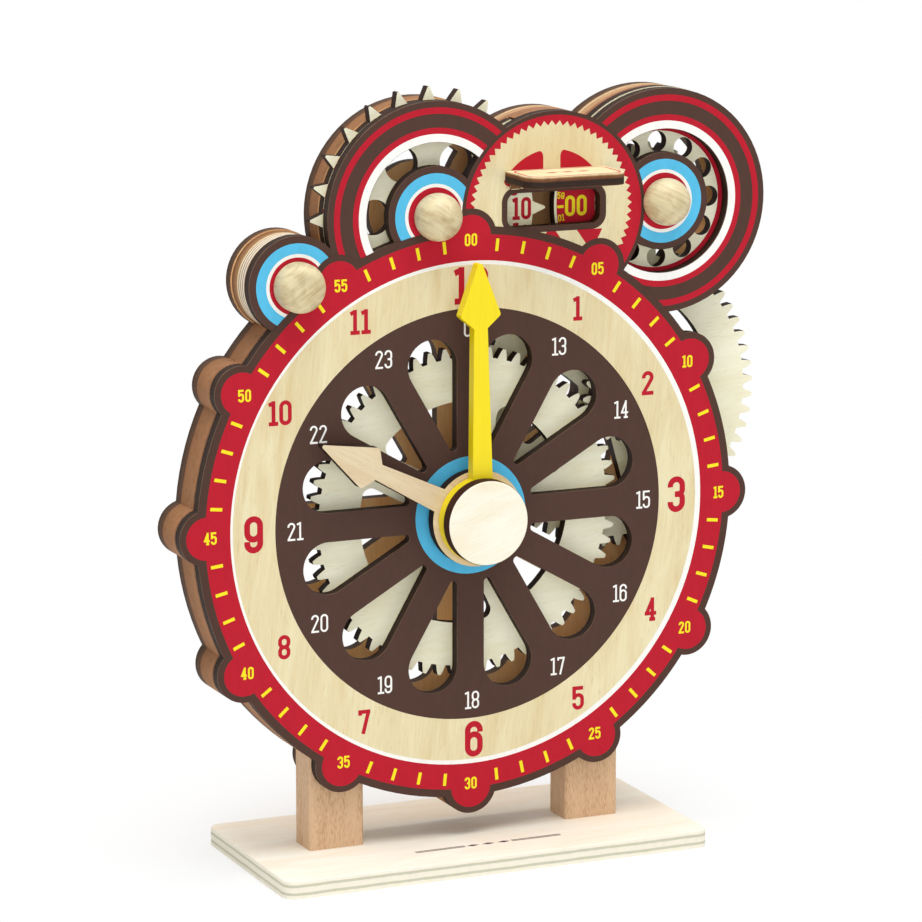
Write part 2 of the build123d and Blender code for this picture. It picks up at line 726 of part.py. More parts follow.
PIECES = {
    "base_plate": base_plate(),
    "leg_left": leg(-1),
    "leg_right": leg(1),
    "leg_screws": Compound(children=screws()),
    "front_plate": front_plate(),
    "rear_plate": rear_plate(),
    "ring_spacer_right": ring_spacer_right(),
    "ring_spacer_bottom": ring_spacer_bottom(),
    "ring_spacer_left": ring_spacer_left(),
    "small_circle_spacer": small_spacer(),
    "hour_circle_spacer": circle_spacer(HOUR_CENTRE),
    "minute_circle_spacer": circle_spacer(MINUTE_CENTRE),
    "crown_spacer": crown_spacer(),
    "side_axle": side_axle(),
    "hinge_rail": hinge_rail(),
    "minute_hand": minute_hand(),
    "hub_cap": hub_cap(),
    "minute_shaft": minute_shaft(),
    "minute_pinion": drive_pinion(DIAL_CENTRE, SIDE_AXLE_ANGLE + 180),
    "hour_hand": hour_hand(),
    "hub_washer": hub_washer(),
    "hour_sleeve": hour_sleeve(),
    "hour_gear": hour_gear(),
    "side_gear": side_gear(),
    "side_pinion": side_pinion(),
    "side_washer": side_washer(),
    "minute_wheel": minute_wheel(),
    "minute_arbor": arbor(MINUTE_CENTRE, REAR_BACK),
    "drive_pinion": drive_pinion(MINUTE_CENTRE, MINUTE_WHEEL_ANGLE),
    "carry_pin": carry_pin(),
    "minute_knob": ball_knob(MINUTE_CENTRE),
    "hour_star": hour_star(),
    "hour_arbor": arbor(HOUR_CENTRE, REAR_BACK),
    "star_collar": star_collar(),
    "hour_knob": ball_knob(HOUR_CENTRE),
    "small_knob": small_knob(),
    "small_arbor": arbor(SMALL_CENTRE, A_BACK),
    "flap": flap(),
    "hinge_pin": hinge_pin(),
}

os.makedirs("parts", exist_ok=True)
for node, piece in PIECES.items():
    export_step(piece, f"parts/{node}.step")
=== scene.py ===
"""Finishes and prints of a wooden teaching clock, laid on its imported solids."""

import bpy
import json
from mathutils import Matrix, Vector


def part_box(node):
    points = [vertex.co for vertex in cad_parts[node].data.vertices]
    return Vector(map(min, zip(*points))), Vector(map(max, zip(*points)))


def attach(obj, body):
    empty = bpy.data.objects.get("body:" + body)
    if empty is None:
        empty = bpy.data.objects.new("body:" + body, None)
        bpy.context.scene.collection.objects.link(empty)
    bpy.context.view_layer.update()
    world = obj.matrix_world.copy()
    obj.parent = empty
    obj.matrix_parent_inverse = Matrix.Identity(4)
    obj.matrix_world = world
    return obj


bl_info = {
    "name": "Wooden teaching clock",
    "version": (1, 0, 0),
    "blender": (4, 5, 0),
    "location": "3D View > Sidebar > Clock",
    "description": "Finishes and prints of a wooden teaching clock, laid on its packed solids",
    "category": "Object",
}

import json
from math import acos, asin, atan2, cos, degrees, radians, sin

import bmesh
import bpy
from bpy.props import FloatProperty, FloatVectorProperty, PointerProperty
from mathutils import Matrix, Vector

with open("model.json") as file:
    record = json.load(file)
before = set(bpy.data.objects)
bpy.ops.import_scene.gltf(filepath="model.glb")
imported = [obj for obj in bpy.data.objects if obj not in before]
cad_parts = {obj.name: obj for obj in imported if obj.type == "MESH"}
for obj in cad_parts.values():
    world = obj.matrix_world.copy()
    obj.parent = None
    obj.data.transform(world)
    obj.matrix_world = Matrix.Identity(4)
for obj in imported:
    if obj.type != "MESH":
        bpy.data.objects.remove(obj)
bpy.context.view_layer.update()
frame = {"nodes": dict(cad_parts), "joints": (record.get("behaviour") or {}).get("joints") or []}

MM = 0.001
CASE = "stand_and_case"
HOURS = 12
MINUTES = 60
# Every fifth minute bears a number, and every third hour a large one
NUMBERED = 5
QUARTER = 3

# Places that the solids give. Points on the dial plane are (x, z) pairs.
PIVOT = {joint["name"]: Vector(joint["pos_m"]) for joint in frame["joints"]}
DIAL_CENTRE = PIVOT["minute_hand_spin"].xz
HOUR_CENTRE = PIVOT["hour_star_spin"].xz
MINUTE_CENTRE = PIVOT["minute_wheel_spin"].xz
SMALL_CENTRE = PIVOT["small_knob_spin"].xz
HINGE_TO_WINDOW = 10.8 * MM
WINDOW_TO_CIRCLE = 1.3 * MM
WINDOW_CENTRE = PIVOT["flap_swing"].xz - Vector((0, HINGE_TO_WINDOW))
CIRCLE_CENTRE = WINDOW_CENTRE - Vector((0, WINDOW_TO_CIRCLE))
FACE_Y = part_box("front_plate")[0].y
STAR_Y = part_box("hour_star")[0].y
WHEEL_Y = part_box("minute_wheel")[0].y
FLAP_LOW, FLAP_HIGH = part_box("flap")


def linear(code):
    """Linear colour of an sRGB hex code."""
    parts = [int(code[k:k + 2], 16) / 255 for k in (1, 3, 5)]
    return [p / 12.92 if p <= 0.04045 else ((p + 0.055) / 1.055) ** 2.4 for p in parts] + [1.0]


def setting(name, description, default, **options):
    """Value that a user can change."""
    return FloatProperty(name=name, description=description, default=default, **options)


def size(name, description, millimetres):
    """Length that a user can change."""
    return setting(name, description, millimetres * MM, unit="LENGTH", precision=4)


def colour(name, description, code):
    """Colour that a user can change."""
    return FloatVectorProperty(
        name=name, description=description, default=linear(code), size=4, subtype="COLOR", min=0.0, max=1.0
    )


class ClockColours(bpy.types.PropertyGroup):
    """Inks and woods"""

    red: colour("Red ink", "Minute ring, hour numbers and the rings of the circles", "#be2132")
    brown: colour("Brown ink", "Ground of the dial and of the circles", "#523b33")
    blue: colour("Blue ink", "Rosettes and the disc under the hands", "#5cc3ee")
    white: colour("White ink", "Thin rings and the numbers of the second half of the day", "#fbfaf6")
    yellow: colour("Yellow ink", "Minute marks and numbers", "#fbe82c")
    lacquer: colour("Yellow lacquer", "Minute hand", "#f8e010")
    veneer: colour("Dial veneer", "Plain ring of the dial and the printed gear", "#ece1ba")
    veneer_streak: colour("Dial streak", "Darker grain of the dial", "#dec998")
    wheel: colour("Wheel veneer", "Faces of the wheels between the plates", "#fffde4")
    wheel_streak: colour("Wheel streak", "Darker grain of the wheels", "#f5eecb")
    cap: colour("Cap veneer", "Face of the hub cap", "#fdfaea")
    cap_streak: colour("Cap streak", "Darker grain of the hub cap", "#f4e9cd")
    hand: colour("Hand veneer", "Face of the hour hand", "#e7d7b5")
    hand_streak: colour("Hand streak", "Darker grain of the hour hand", "#d6bb96")
    base: colour("Base veneer", "Top of the base", "#fffaec")
    base_streak: colour("Base streak", "Darker grain of the base", "#faecd6")
    # The stain is painted much paler than the stained wood itself: painted light that makes up for the shade
    # inside the case.
    stain: colour("Stained veneer, painted paler", "Faces of the rear plate and of the spacers", "#ffd09a")
    stain_streak: colour("Stained streak, painted paler", "Darker grain of the stained faces", "#f2b478")
    beech: colour("Beech", "Legs", "#dcb995")
    beech_fleck: colour("Beech fleck", "Short dark flecks of beech", "#ba8f68")
    hardwood: colour("Turned hardwood", "Knobs and shafts", "#dfd1a8")
    hardwood_line: colour("Hardwood line", "Growth lines of the turned wood", "#b0956a")


class ClockPrint(bpy.types.PropertyGroup):
    """Sizes of the print"""

    film: size("Film", "Thickness of one layer of print", 0.05)
    border: size("Border radius", "Outer edge of the dial between the lobes", 127.9)
    border_lobe: size("Border lobe", "Radius of a lobe's outer edge", 12.2)
    lobe_distance: size("Lobe distance", "From the dial's centre to a lobe's centre", 123.7)
    minute_ring: size("Minute ring", "Outer edge of the red minute ring between the lobes", 124.45)
    minute_lobe: size("Minute lobe", "Radius of the red in a lobe", 9.5)
    white_ring: size("White ring", "Outer edge of the white line inside the minute ring", 113.0)
    hour_ring: size("Hour ring", "Outer edge of the plain ring of the hours", 111.2)
    ground: size("Ground", "Outer edge of the brown ground inside the hours", 92.3)
    hub_disc: size("Hub disc", "Outer edge of the blue disc under the hands", 26.4)
    hub_hole: size("Hub hole", "Inner edge of that disc", 7.4)
    mark_inner: size("Mark start", "Inner end of a minute mark", 117.2)
    mark_outer: size("Mark end", "Outer end of a minute mark", 122.7)
    mark_width: size("Mark width", "Width of a minute mark", 1.5)
    minute_figures: size("Minute figures", "Height of the minute numbers", 5.5)
    minute_radius: size("Minute radius", "From the dial's centre to the minute numbers", 122.2)
    hour_figures: size("Hour figures", "Height of the plain hour numbers", 10.9)
    quarter_figures: size("Quarter figures", "Height of 3, 6, 9 and 12", 16.4)
    hour_radius: size("Hour radius", "From the dial's centre to the hour numbers", 102.3)
    day_figures: size("Day figures", "Height of the numbers 13 to 00", 8.0)
    day_radius: size("Day radius", "From the dial's centre to the numbers 13 to 00", 83.8)
    band_outer: size("Outer band", "Outer edge of the outer red band of a number circle", 47.2)
    band_inner: size("Outer band end", "Inner edge of the outer red band", 44.4)
    line_outer: size("Inner band", "Outer edge of the inner red band", 38.4)
    line_inner: size("Inner band end", "Inner edge of the inner red band, where the white starts", 35.7)
    opening: size("Opening", "Inner edge of the white, at the opening", 32.2)
    rosette: size("Rosette", "Outer edge of a rosette's blue", 18.7)
    rosette_line: size("Rosette line", "Outer edge of a rosette's white", 14.1)
    rosette_field: size("Rosette field", "Outer edge of a rosette's red", 12.6)
    rosette_hole: size("Rosette hole", "Inner edge of a rosette's red", 4.3)
    circle_edge: size("Centre circle", "Outer edge of the centre circle", 44.1)
    circle_field: size("Centre field", "Outer edge of the centre circle's red", 42.4)
    picture_tip: size("Gear tip", "Tip radius of the printed gear", 39.0)
    picture_root: size("Gear root", "Root radius of the printed gear", 36.8)
    picture_window: size("Gear window", "Outer radius of the printed gear's openings", 26.5)
    picture_hub: size("Gear hub", "Inner radius of the printed gear's openings", 9.0)
    picture_spoke: size("Gear spoke", "Width of the printed gear's spokes", 8.2)
    picture_corner: size("Gear corner", "Rounding of the printed gear's openings", 3.2)
    window_width: size("Window width", "Width of the window in the centre circle", 45.0)
    window_height: size("Window height", "Height of the window in the centre circle", 15.0)
    window_corner: size("Window corner", "Rounding of the window", 4.0)
    window_rim: size("Window rim", "Brown rim round the window", 2.7)
    star_figures: size("Star figures", "Height of the numbers on the hour star", 9.9)
    star_radius: size("Star radius", "From the hour star's centre to its numbers", 44.2)
    wheel_outer: size("Wheel band", "Outer edge of the minute wheel's red band", 49.0)
    wheel_inner: size("Wheel band end", "Inner edge of the minute wheel's red band", 30.5)
    wheel_figures: size("Wheel figures", "Height of every fifth number on the minute wheel", 9.2)
    wheel_radius: size("Wheel radius", "From the minute wheel's centre to those numbers", 39.6)
    wheel_small: size("Wheel small figures", "Height of the other numbers on the minute wheel", 3.0)
    wheel_small_radius: size("Wheel small radius", "From the minute wheel's centre to the others", 47.1)
    flap_inset: size("Flap inset", "From the flap's edge to its printed line", 1.4)
    flap_line: size("Flap line", "Width of the flap's printed line", 0.8)
    flap_corner: size("Flap corner", "Rounding of the flap's printed line", 5.6)
    lozenge: size("Lozenge", "Length of the lozenges on the flap and the base", 6.0)
    ornament_place: FloatVectorProperty(
        name="Ornament", description="Middle of the base's ornament",
        default=(0.002, -0.029), size=2, unit="LENGTH",
    )
    ornament_line: size("Ornament line", "Length of each line of the base's ornament", 24.0)


class ClockStage(bpy.types.PropertyGroup):
    """Camera and light"""

    azimuth: setting("Azimuth", "Turn of the camera round the clock", radians(-23.77), subtype="ANGLE")
    elevation: setting("Elevation", "Rise of the camera over the floor", radians(11.33), subtype="ANGLE")
    distance: size("Distance", "From the camera to the point it looks at", 1877.0)
    aim: FloatVectorProperty(
        name="Aim", description="Point that the camera looks at",
        default=(-0.0020, -0.0080, 0.1776), unit="LENGTH",
    )
    lens: setting("Lens", "Focal length in millimetres on a 36 mm sensor", 166.5)
    key: setting("Key light", "Power of the large lamp in front", 7.5, unit="POWER")
    top: setting("Top light", "Power of the large lamp overhead", 64.0, unit="POWER")
    sky: setting("Sky light", "Strength of the even light from all round", 0.5)


# Shapes on the dial plane, as lists of points. A count of steps says how finely a curve is divided.

CIRCLE_STEPS = 180
BAND_STEPS = 120
LOBE_STEPS = 24
BETWEEN_LOBES_STEPS = 12
CORNER_STEPS = 10
DEGREES_OFF_LOBE = 1
LOZENGES = 3
LOZENGE_PITCH = 1.25
LOZENGE_HALF_HEIGHT = 0.2


def polar(centre, radius, angle):
    """Point at a radius and a clockwise angle, in degrees from 12 o'clock."""
    return (centre[0] + radius * sin(radians(angle)), centre[1] + radius * cos(radians(angle)))


def arc(centre, radius, start, end, steps):
    """Points on a circle between two clockwise angles, both ends included."""
    return [polar(centre, radius, start + (end - start) * k / steps) for k in range(steps + 1)]


def circle(centre, radius):
    """Full circle."""
    return arc(centre, radius, 0, 360 - 360 / CIRCLE_STEPS, CIRCLE_STEPS - 1)


def band(centre, outer, inner, start, end):
    """Part of a ring between two clockwise angles."""
    return arc(centre, outer, start, end, BAND_STEPS) + arc(centre, inner, end, start, BAND_STEPS)


def lobed(centre, radius, lobe, distance):
    """Circle with a round lobe at each hour."""
    spread = acos((radius**2 + distance**2 - lobe**2) / (2 * radius * distance))
    turn = degrees(atan2(radius * sin(spread), radius * cos(spread) - distance))
    clear = degrees(spread) + DEGREES_OFF_LOBE
    pitch = 360 / HOURS
    points = []
    for k in range(HOURS):
        hour = pitch * k
        points += arc(polar(centre, distance, hour), lobe, hour - turn, hour + turn, LOBE_STEPS)
        points += arc(centre, radius, hour + clear, hour + pitch - clear, BETWEEN_LOBES_STEPS)
    return points


def toothed(centre, tip, root, teeth):
    """Circle of pointed teeth."""
    points = []
    for k in range(teeth):
        points.append(polar(centre, tip, 360 / teeth * k))
        points.append(polar(centre, root, 360 / teeth * (k + 0.5)))
    return points


def plaque(centre, width, height, corner):
    """Rectangle with rounded corners."""
    points = []
    for across, up, start in ((1, 1, 0), (1, -1, 90), (-1, -1, 180), (-1, 1, 270)):
        middle = (centre[0] + across * (width / 2 - corner), centre[1] + up * (height / 2 - corner))
        points += arc(middle, corner, start, start + 90, CORNER_STEPS)
    return points


def bar(centre, inner, outer, width, angle):
    """Straight mark that points away from a centre."""
    side = polar((0, 0), width / 2, angle + 90)
    near = polar(centre, inner, angle)
    far = polar(centre, outer, angle)
    corners = ((near, -1), (far, -1), (far, 1), (near, 1))
    return [(end[0] + sign * side[0], end[1] + sign * side[1]) for end, sign in corners]


def lozenges(centre, length):
    """Row of slim lozenges along the first axis."""
    x, y = centre
    half = length / 2
    rise = length * LOZENGE_HALF_HEIGHT
    row = []
    for k in range(LOZENGES):
        middle = x + length * LOZENGE_PITCH * (k - (LOZENGES - 1) / 2)
        row.append([(middle - half, y), (middle, y + rise), (middle + half, y), (middle, y - rise)])
    return row


# Figures, drawn as strokes along their centre lines. Widths, gap and weights are shares of the height.

WIDE = 0.53
NARROW = 0.49
SLIM = 0.45
FIGURE_GAP = 0.09
ONE_WIDTH = 0.72
MEDIUM = 0.165
LIGHT = 0.108
BEND_STEPS = 14
HOOK_STEPS = 6


def figure_strokes(digit, a, b, half):
    """Centre lines of a condensed figure that reaches a to each side and b up and down."""

    def round_end(y, start, end):
        return arc((0, y), a, start, end, BEND_STEPS)

    top = b - a
    foot = a - b
    waist = 0.3 * b - a
    loop = round_end(top, -90, 90) + round_end(foot, 90, 270)
    bowl = round_end(waist, -90, 90) + round_end(foot, 90, 270)
    bent = [(-a, foot)] + round_end(top, -90, 90) + [(a, top - 0.3 * a)]
    hook = arc((0.35 * a, 0.65 * a), 0.65 * a, 90, 180, HOOK_STEPS)
    upper = round_end(top, -100, 90) + hook + [(-0.25 * a, 0)]
    eye = round_end(top, -90, 90) + round_end(a, 90, 270)
    shapes = {
        "0": [loop + loop[:1]],
        "1": [
            [(0.2 * a, b + half), (0.2 * a, -b)],
            [(0.2 * a, b), (-0.9 * a, b - 0.4 * a)],
            [(-0.9 * a, -b), (1.3 * a, -b)],
        ],
        "2": [
            round_end(top, -100, 120) + [(-a, -b + 0.3 * half), (-a, -b)],
            [(-a - half, -b), (a + half, -b)],
        ],
        "3": [upper, [(x, -y) for x, y in upper]],
        "4": [
            [(0.45 * a, b + half), (0.45 * a, -b - half)],
            [(0.45 * a, b), (-a, -0.4 * b)],
            [(-a - half, -0.4 * b), (a + half, -0.4 * b)],
            [(-0.3 * a, -b), (1.2 * a, -b)],
        ],
        "5": [
            [(-a - half, b), (a + 0.5 * half, b)],
            [(-a, b), (-a, waist)],
            round_end(waist, -90, 90) + round_end(foot, 90, 280),
        ],
        "6": [bowl + bowl[:1], bent],
        "7": [[(-a - half, b), (a + half, b)], [(a, b), (-0.3 * a, -b - half)], [(-a, b), (-a, b - 0.8 * a)]],
        "8": [eye + eye[:1], [(x, -y) for x, y in eye + eye[:1]]],
        "9": [[(-x, -y) for x, y in bowl + bowl[:1]], [(-x, -y) for x, y in bent]],
    }
    return shapes[digit]


def number(text, height, width, weight, centre, turn=0.0):
    """Strokes of a number about a point, turned clockwise, each with half its width."""
    half = weight * height / 2
    gap = FIGURE_GAP * height
    widths = [width * height * (ONE_WIDTH if digit == "1" else 1.0) for digit in text]
    left = -(sum(widths) + gap * (len(text) - 1)) / 2
    a = width * height / 2 - half
    b = height / 2 - half
    level = cos(radians(turn))
    slope = sin(radians(turn))
    strokes = []
    for digit, room in zip(text, widths):
        middle = left + room / 2
        left += room + gap
        for stroke in figure_strokes(digit, a, b, half):
            points = [
                (
                    centre[0] + (middle + x) * level + y * slope,
                    centre[1] - (middle + x) * slope + y * level,
                )
                for x, y in stroke
            ]
            strokes.append((points, half))
    return strokes


# Meshes and pieces

# Strokes in a row stand at different heights, in shares of their half width
STROKE_STEP = 0.25
STROKE_LEVELS = 4
MERGE_DISTANCE = 0.002 * MM


def curve_mesh(curve):
    """Mesh of a curve, which is then removed."""
    carrier = bpy.data.objects.new(curve.name, curve)
    bpy.context.scene.collection.objects.link(carrier)
    bpy.context.view_layer.update()
    mesh = bpy.data.meshes.new_from_object(carrier.evaluated_get(bpy.context.evaluated_depsgraph_get()))
    bpy.data.objects.remove(carrier)
    bpy.data.curves.remove(curve)
    return mesh


def add_spline(curve, points, radius=1.0, height=0.0, closed=True):
    """Straight-run spline through points of a level plane."""
    spline = curve.splines.new("POLY")
    spline.points.add(len(points) - 1)
    for place, (x, y) in zip(spline.points, points):
        place.co = (x, y, height, 1)
        place.radius = radius
    spline.use_cyclic_u = closed


def film_mesh(name, outlines, thickness):
    """Flat film inside outlines, where an outline inside another one is a hole."""
    curve = bpy.data.curves.new(name, "CURVE")
    curve.dimensions = "2D"
    curve.fill_mode = "BOTH"
    curve.extrude = thickness / 2
    for points in outlines:
        add_spline(curve, points)
    return curve_mesh(curve)


def stroke_mesh(name, strokes, relief):
    """Low ridges of ink along the strokes of figures, each a little higher than the one before."""
    curve = bpy.data.curves.new(name, "CURVE")
    curve.dimensions = "3D"
    curve.bevel_depth = 1.0
    curve.bevel_resolution = 0
    curve.use_fill_caps = True
    for k, (points, half) in enumerate(strokes):
        add_spline(curve, points, half, half * STROKE_STEP * (k % STROKE_LEVELS), closed=False)
    mesh = curve_mesh(curve)
    widest = max(half for points, half in strokes)
    mesh.transform(Matrix.Diagonal((1, 1, relief / widest, 1)))
    return mesh


def facing(y):
    """Place of a flat mesh on a plane that faces the viewer at a depth."""
    return Matrix.Translation((0, y, 0)) @ Matrix.Rotation(radians(90), 4, "X")


def add_piece(name, mesh, place, body, material):
    """Object of a placed mesh, with clean outward faces, that rides on a body."""
    mesh.transform(place)
    shape = bmesh.new()
    shape.from_mesh(mesh)
    bmesh.ops.remove_doubles(shape, verts=shape.verts, dist=MERGE_DISTANCE)
    bmesh.ops.recalc_face_normals(shape, faces=shape.faces)
    shape.to_mesh(mesh)
    shape.free()
    mesh.name = name
    mesh.shade_flat()
    mesh.materials.clear()
    mesh.materials.append(material)
    piece = bpy.data.objects.new(name, mesh)
    bpy.context.scene.collection.objects.link(piece)
    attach(piece, body)


def add_film(name, outlines, level, material, y=FACE_Y, body=CASE):
    """Print of a number of layers on a plane that faces the viewer."""
    thickness = level * bpy.context.scene.clock_print.film
    mesh = film_mesh(name, outlines, thickness)
    add_piece(name, mesh, facing(y - thickness / 2), body, material)


def add_top_film(name, outlines, z, body, material):
    """Print of one layer on a plane that faces up."""
    thickness = bpy.context.scene.clock_print.film
    mesh = film_mesh(name, outlines, thickness)
    place = Matrix.Translation((0, 0, z + thickness / 2))
    add_piece(name, mesh, place, body, material)


def add_numbers(name, strokes, level, material, y=FACE_Y, body=CASE):
    """Numbers on top of a number of layers of print."""
    film = bpy.context.scene.clock_print.film
    mesh = stroke_mesh(name, strokes, film / 2)
    add_piece(name, mesh, facing(y - level * film), body, material)


# Materials

IOR = 1.5
# A surface is a face where its normal lies at least this far along the thickness
FACE_NORMAL = 0.7
SOOT = "#22150f"


def add(tree, kind, inputs=None, **settings):
    """Node with its settings, and with values or links on its inputs."""
    node = tree.nodes.new(kind)
    for key, value in settings.items():
        setattr(node, key, value)
    for key, value in (inputs or {}).items():
        if isinstance(value, bpy.types.NodeSocket):
            tree.links.new(value, node.inputs[key])
        else:
            node.inputs[key].default_value = value
    return node


def blank(name, roughness, gloss):
    """New material, its node tree and its shader."""
    material = bpy.data.materials.new(name)
    material.use_nodes = True
    shader = material.node_tree.nodes["Principled BSDF"]
    shader.inputs["Roughness"].default_value = roughness
    shader.inputs["IOR"].default_value = IOR
    shader.inputs["Specular IOR Level"].default_value = gloss
    return material, material.node_tree, shader


def figure(tree, sizes_mm, detail=3.0, distortion=0.0, tilt=0.0):
    """Noise with blotches of these millimetres along X, Y and Z, tilted clockwise on the dial plane."""
    place = add(tree, "ShaderNodeTexCoord")
    scale = [mm * MM for mm in sizes_mm]
    inputs = {"Vector": place.outputs["Object"], "Rotation": (0.0, radians(tilt), 0.0), "Scale": scale}
    spread = add(tree, "ShaderNodeMapping", inputs, vector_type="TEXTURE")
    inputs = {"Vector": spread.outputs["Vector"], "Scale": 1.0, "Detail": detail, "Distortion": distortion}
    return add(tree, "ShaderNodeTexNoise", inputs).outputs["Fac"]


def along(axis, length_mm, width_mm):
    """Sizes of a streak that runs along one axis."""
    return tuple(length_mm if name == axis else width_mm for name in "XYZ")


def deeper(shade, share):
    """Colour with a share of a shade's light."""
    return [channel * share for channel in shade[:3]] + [1.0]


def blend(tree, value, low, high, first, second, most=1.0):
    """Colour that goes from the first towards the second as a value rises from low to high."""
    span = {"Value": value, "From Min": low, "From Max": high, "To Max": most}
    amount = add(tree, "ShaderNodeMapRange", span)
    inputs = {0: amount.outputs[0], 6: first, 7: second}
    return add(tree, "ShaderNodeMix", inputs, data_type="RGBA").outputs[2]


def coat(tree, shader, tone, height, depth_mm, strength):
    """Colour of a surface, and the fine height on it."""
    tree.links.new(tone, shader.inputs["Base Color"])
    bump = add(tree, "ShaderNodeBump", {"Height": height, "Distance": depth_mm * MM, "Strength": strength})
    tree.links.new(bump.outputs["Normal"], shader.inputs["Normal"])


def veneer_tone(tree, tones, axis, tilt=0.0):
    """Colour of peeled veneer: cloudy patches, fine fibres and short pores along the grain."""
    light, dark = tones
    cloud = figure(tree, along(axis, 60.0, 15.0), 3.0, 1.2, tilt)
    fibre = figure(tree, along(axis, 16.0, 0.7), 3.0, 0.4, tilt)
    pore = figure(tree, along(axis, 4.5, 0.5), 1.0, 0.0, tilt)
    both = add(tree, "ShaderNodeMath", {0: fibre, 1: 0.5, 2: cloud}, operation="MULTIPLY_ADD")
    grain = blend(tree, both.outputs[0], 0.58, 1.05, light, dark)
    return blend(tree, pore, 0.63, 0.78, grain, deeper(dark, 0.8), 0.45), fibre


def mottled(tree, shade):
    """Colour of an even coat that is a little thin in places."""
    mottle = figure(tree, (2.5, 2.5, 6.0), 4.0)
    return blend(tree, mottle, 0.42, 0.78, shade, deeper(shade, 0.93))


def plywood(name, tones, edge, soot, through="Y", start=FACE_Y, axis="Z", tilt=0.0, print_colour=None):
    """Plywood: veneer on the faces, layers or scorching in the edges, and ink on a printed front.

    The tones are the face's light and dark colour. The edge lists colours against the millimetres from
    the start, and soot is how much the laser has blackened it in places.
    """
    material, tree, shader = blank(name, 0.65, 0.12)
    face, fibre = veneer_tone(tree, tones, axis, tilt)
    place = add(tree, "ShaderNodeTexCoord")
    depth = add(tree, "ShaderNodeSeparateXYZ", {0: place.outputs["Object"]})
    first, last = edge[0][0], edge[-1][0]
    wander = 0.35 * MM
    span = {"Value": figure(tree, (12.0, 12.0, 12.0), 4.0), "To Min": -wander, "To Max": wander}
    drift = add(tree, "ShaderNodeMapRange", span)
    inside = add(tree, "ShaderNodeMath", {0: depth.outputs[through], 1: drift.outputs[0]}, operation="ADD")
    span = {"Value": inside.outputs[0], "From Min": start + first * MM, "From Max": start + last * MM}
    share = add(tree, "ShaderNodeMapRange", span)
    layers = add(tree, "ShaderNodeValToRGB", {"Fac": share.outputs[0]})
    stops = layers.color_ramp.elements
    stops.remove(stops[1])
    stops[0].color = linear(edge[0][1])
    for millimetres, code in edge[1:]:
        stops.new((millimetres - first) / (last - first)).color = linear(code)
    scorch = figure(tree, (3.0, 3.0, 3.0), 4.0)
    cut = blend(tree, scorch, 0.48, 0.8, layers.outputs["Color"], linear(SOOT), soot)
    side = add(tree, "ShaderNodeSeparateXYZ", {0: place.outputs["Normal"]}).outputs[through]
    level = add(tree, "ShaderNodeMath", {0: side}, operation="ABSOLUTE")
    flat = add(tree, "ShaderNodeMath", {0: level.outputs[0], 1: FACE_NORMAL}, operation="GREATER_THAN")
    inputs = {0: flat.outputs[0], 6: cut, 7: face}
    surface = add(tree, "ShaderNodeMix", inputs, data_type="RGBA").outputs[2]
    if print_colour is not None:
        front = add(tree, "ShaderNodeMath", {0: side, 1: -FACE_NORMAL}, operation="LESS_THAN")
        inputs = {0: front.outputs[0], 6: surface, 7: mottled(tree, print_colour)}
        surface = add(tree, "ShaderNodeMix", inputs, data_type="RGBA").outputs[2]
    coat(tree, shader, surface, fibre, 0.08, 0.25)
    return material


def ink(name, shade):
    """Screen-printed ink: an even matt coat, faintly mottled, with the veneer's fibres under it."""
    material, tree, shader = blank(name, 0.6, 0.08)
    fibre = figure(tree, along("Z", 18.0, 0.7), 2.0)
    coat(tree, shader, mottled(tree, shade), fibre, 0.05, 0.2)
    return material


def bare_birch(colours):
    """Unprinted birch veneer of the dial: pale, with soft grain from top to bottom."""
    material, tree, shader = blank("birch veneer, sanded", 0.65, 0.12)
    tone, fibre = veneer_tone(tree, (colours.veneer, colours.veneer_streak), "Z", 6.0)
    coat(tree, shader, tone, fibre, 0.08, 0.25)
    return material


def beech(colours):
    """Planed beech: pinkish tan with many short dark flecks along the grain."""
    material, tree, shader = blank("beech, planed", 0.58, 0.25)
    fleck = figure(tree, along("Z", 2.8, 0.42), 2.0)
    broad = figure(tree, along("Z", 60.0, 5.0), 3.0)
    both = add(tree, "ShaderNodeMath", {0: broad, 1: 0.5, 2: fleck}, operation="MULTIPLY_ADD")
    tone = blend(tree, both.outputs[0], 0.72, 1.02, colours.beech, colours.beech_fleck)
    coat(tree, shader, tone, fleck, 0.1, 0.3)
    return material


def turned_hardwood(name, colours, tilt):
    """Turned and waxed hardwood: slanting growth lines between paler patches, with a soft sheen."""
    material, tree, shader = blank(name, 0.42, 0.4)
    line = figure(tree, (15.0, 15.0, 1.1), 3.0, 0.7, tilt)
    broad = figure(tree, (9.0, 9.0, 7.0), 3.0, 0.5, tilt)
    both = add(tree, "ShaderNodeMath", {0: line, 1: 0.6, 2: broad}, operation="MULTIPLY_ADD")
    tone = blend(tree, both.outputs[0], 0.66, 1.12, colours.hardwood, colours.hardwood_line)
    coat(tree, shader, tone, line, 0.05, 0.2)
    return material


def yellow_lacquer(colours):
    """Sprayed yellow lacquer on wood: even, half gloss, with the grain faintly telegraphed through."""
    material, tree, shader = blank("yellow lacquer on wood", 0.38, 0.35)
    grain = figure(tree, along("Z", 30.0, 1.2), 3.0)
    tone = blend(tree, grain, 0.45, 0.75, colours.lacquer, deeper(colours.lacquer, 0.95))
    coat(tree, shader, tone, grain, 0.06, 0.2)
    return material


def steel():
    """Plain drawn steel: grey metal with fine streaks of roughness."""
    material, tree, shader = blank("steel, drawn", 0.35, 0.5)
    shader.inputs["Metallic"].default_value = 1.0
    shader.inputs["Base Color"].default_value = linear("#a6a6a8")
    streak = figure(tree, (0.4, 4.0, 4.0), 2.0)
    rough = add(tree, "ShaderNodeMapRange", {"Value": streak, "To Min": 0.25, "To Max": 0.5})
    tree.links.new(rough.outputs[0], shader.inputs["Roughness"])
    return material


